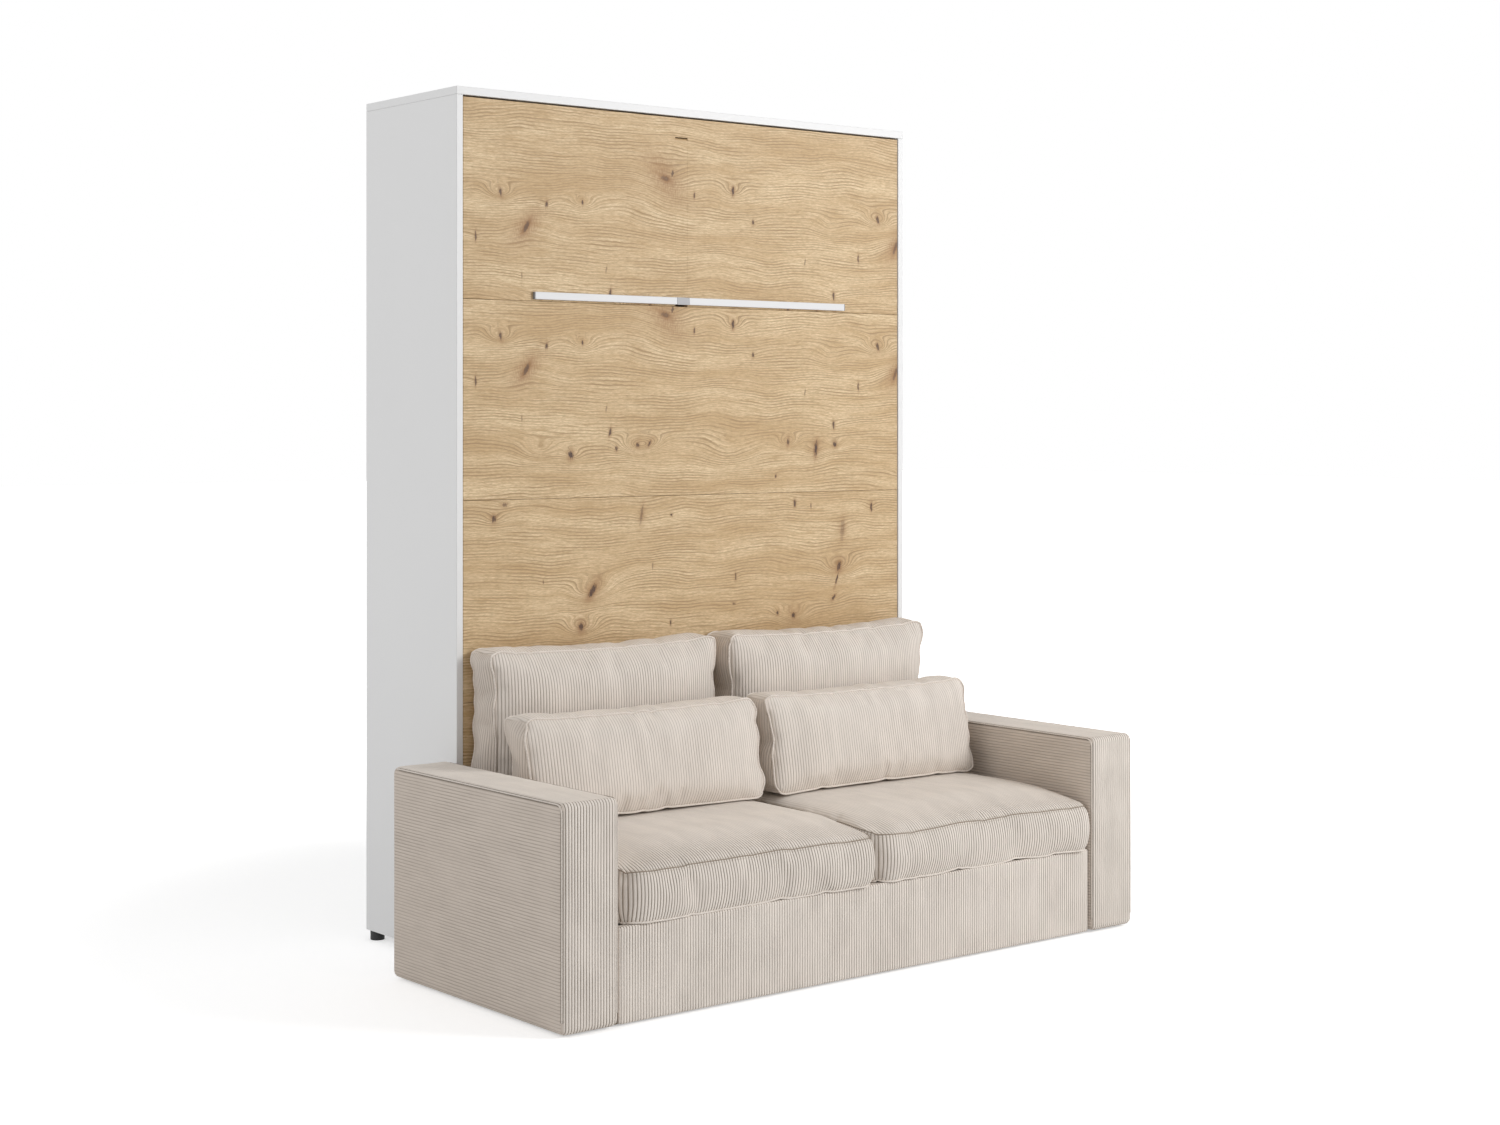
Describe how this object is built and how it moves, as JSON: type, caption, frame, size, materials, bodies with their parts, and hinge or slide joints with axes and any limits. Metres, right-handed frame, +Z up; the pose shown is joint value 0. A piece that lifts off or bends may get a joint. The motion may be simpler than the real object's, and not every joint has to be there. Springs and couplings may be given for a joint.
{
  "type": "wall bed with sofa",
  "caption": "Vertical wall bed in a shallow cabinet with a fixed sofa in front; the front folds down over the seat and a hinged leg bar folds out to the floor.",
  "frame": {"origin": "on the floor, under the middle of the whole piece's box", "axes": "+Z up, +Y to the wall behind the cabinet, +X along the wall, to the right of someone facing the closed bed"},
  "size_m": [1.848, 1.156, 2.178],
  "materials": {
    "white_laminate": "satin white melamine on chipboard",
    "oak_decor": "matt knotty oak decor, grain across the bed",
    "beige_corduroy": "wide-rib corduroy",
    "white_bar": "white powder coat",
    "grey_plastic": "matt moulded plastic",
    "black_plastic": "matt moulded plastic",
    "bumper_rubber": "black rubber",
    "zinc_steel": "zinc-plated steel",
    "painted_frame": "grey powder coat",
    "strut_paint": "black paint",
    "polished_rod": "polished",
    "birch_slat": "lacquered laminated birch",
    "pine_board": "bare softwood board",
    "mattress_cover": "quilted knit cover",
    "elastic_strap": "woven elastic band"
  },
  "bodies": {
    "fixed_unit": {"side_panel_left": "white_laminate", "side_panel_right": "white_laminate", "top_panel": "white_laminate", "plinth_board": "white_laminate", "upper_tie_board": "white_laminate", "lower_tie_board": "white_laminate", "cabinet_foot_front_left": "black_plastic", "cabinet_foot_front_right": "black_plastic", "cabinet_foot_rear_left": "black_plastic", "cabinet_foot_rear_right": "black_plastic", "wall_bracket_left": "zinc_steel", "wall_bracket_right": "zinc_steel", "closing_bumper_left": "bumper_rubber", "closing_bumper_right": "bumper_rubber", "pivot_plate_left": "zinc_steel", "pivot_plate_right": "zinc_steel", "strut_anchor_left": "zinc_steel", "strut_anchor_right": "zinc_steel", "arm_left": "beige_corduroy", "arm_right": "beige_corduroy", "arm_skid_left": "black_plastic", "arm_skid_right": "black_plastic", "sofa_plate_left": "zinc_steel", "sofa_plate_right": "zinc_steel", "sofa_link": "zinc_steel", "base_front": "beige_corduroy", "base_frame": "pine_board", "seat_deck": "pine_board", "seat_cushion_left": "beige_corduroy", "seat_cushion_right": "beige_corduroy"},
    "bed": {"front_board_1": "oak_decor", "front_board_2": "oak_decor", "front_board_3": "oak_decor", "front_board_4": "oak_decor", "frame_rail_left": "painted_frame", "frame_rail_right": "painted_frame", "frame_rail_head": "painted_frame", "frame_rail_foot": "painted_frame", "centre_beam": "painted_frame", "slatted_base": "birch_slat", "bed_hub_left": "zinc_steel", "bed_hub_right": "zinc_steel", "mattress": "mattress_cover", "mattress_stop": "painted_frame", "lower_mattress_strap": "elastic_strap", "upper_mattress_strap": "elastic_strap", "leg_hinge": "zinc_steel"},
    "leg": {"leg_post": "oak_decor", "leg_block": "grey_plastic", "foot_bar_left": "white_bar", "foot_bar_right": "white_bar"},
    "cylinder_left": {"strut_cylinder_left": "strut_paint"},
    "cylinder_right": {"strut_cylinder_right": "strut_paint"},
    "rod_left": {"strut_rod_left": "polished_rod"},
    "rod_right": {"strut_rod_right": "polished_rod"},
    "cushions_left": {"back_cushion_left": "beige_corduroy", "lumbar_cushion_left": "beige_corduroy"},
    "cushions_right": {"back_cushion_right": "beige_corduroy", "lumbar_cushion_right": "beige_corduroy"}
  },
  "joints": [
    {"name": "bed_fold", "type": "hinge", "parent": "fixed_unit", "child": "bed", "pos_m": [0, 0.165, 0.455], "axis": [1, 0, 0], "range_deg": [0, 90]},
    {"name": "leg_fold", "type": "hinge", "parent": "bed", "child": "leg", "pos_m": [-0.049, 0.145, 2.093], "axis": [-1, 0, 0], "range_deg": [0, 90]},
    {"name": "strut_tilt_left", "type": "hinge", "parent": "fixed_unit", "child": "cylinder_left", "pos_m": [-0.7135, 0.245, 0.8], "axis": [1, 0, 0], "range_deg": [0, 23.2]},
    {"name": "strut_tilt_right", "type": "hinge", "parent": "fixed_unit", "child": "cylinder_right", "pos_m": [0.7135, 0.245, 0.8], "axis": [1, 0, 0], "range_deg": [0, 23.2]},
    {"name": "strut_slide_left", "type": "slide", "parent": "cylinder_left", "child": "rod_left", "axis": [0, 0.0986, 0.9951], "range_m": [0, 0.1953]},
    {"name": "strut_slide_right", "type": "slide", "parent": "cylinder_right", "child": "rod_right", "axis": [0, 0.0986, 0.9951], "range_m": [0, 0.1953]},
    {"name": "cushions_left_path", "type": "hinge", "parent": "fixed_unit", "child": "cushions_left", "pos_m": [0, -0.765, -0.5784], "axis": [1, 0, 0], "range_deg": [0, 90]},
    {"name": "cushions_right_path", "type": "hinge", "parent": "fixed_unit", "child": "cushions_right", "pos_m": [0, -0.765, -0.5784], "axis": [1, 0, 0], "range_deg": [0, 90]}
  ],
  "couplings": [
    {"joint": "strut_tilt_left", "follows": "bed_fold", "ratio": 0.25739},
    {"joint": "strut_tilt_right", "follows": "bed_fold", "ratio": 0.25739},
    {"joint": "strut_slide_left", "follows": "bed_fold", "m_per_rad": 0.12425},
    {"joint": "strut_slide_right", "follows": "bed_fold", "m_per_rad": 0.12425},
    {"joint": "cushions_left_path", "follows": "bed_fold", "ratio": 1},
    {"joint": "cushions_right_path", "follows": "bed_fold", "ratio": 1}
  ]
}
